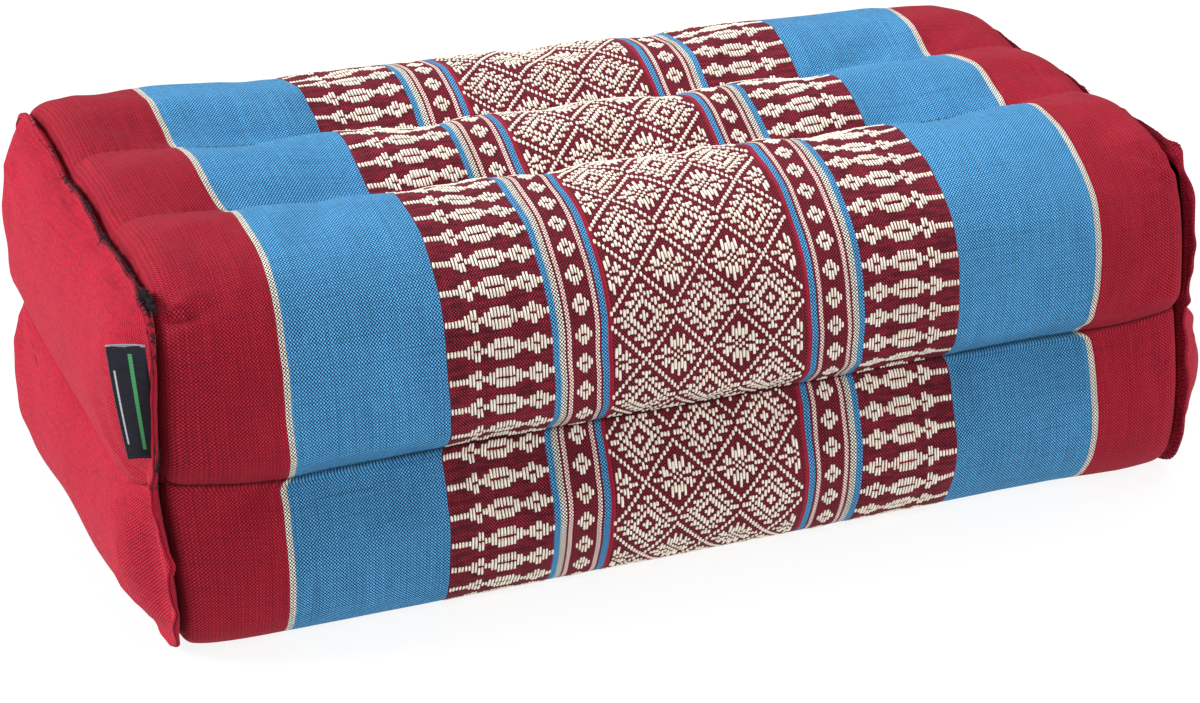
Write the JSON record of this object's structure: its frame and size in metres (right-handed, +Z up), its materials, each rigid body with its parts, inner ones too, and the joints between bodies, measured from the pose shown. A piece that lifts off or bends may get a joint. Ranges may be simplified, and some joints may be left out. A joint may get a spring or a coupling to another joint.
{
  "type": "block zafu cushion",
  "caption": "Firm rectangular kapok-filled floor cushion with rounded sewn channels, crowned end panels, overlocked edge seams and a small blank side tag.",
  "frame": {"origin": "middle of the whole cushion's outline, on the surface it rests on", "axes": "+X along the length to the right end, +Y to the back, +Z up"},
  "size_m": [0.372, 0.1998, 0.1301],
  "materials": {
    "wrap_cloth": "matt striped cotton, blue and red bands with cream woven figures",
    "end_cloth": "matt plain cotton, red with darker threads",
    "overlock_thread": "dark overlocked seam allowance",
    "tag": "dense black woven tape"
  },
  "bodies": {
    "root": {"cushion_body": "wrap_cloth", "end_panel_left": "end_cloth", "end_panel_right": "end_cloth", "edge_seam_left": "overlock_thread", "edge_seam_right": "overlock_thread", "label": "tag"}
  },
  "joints": []
}
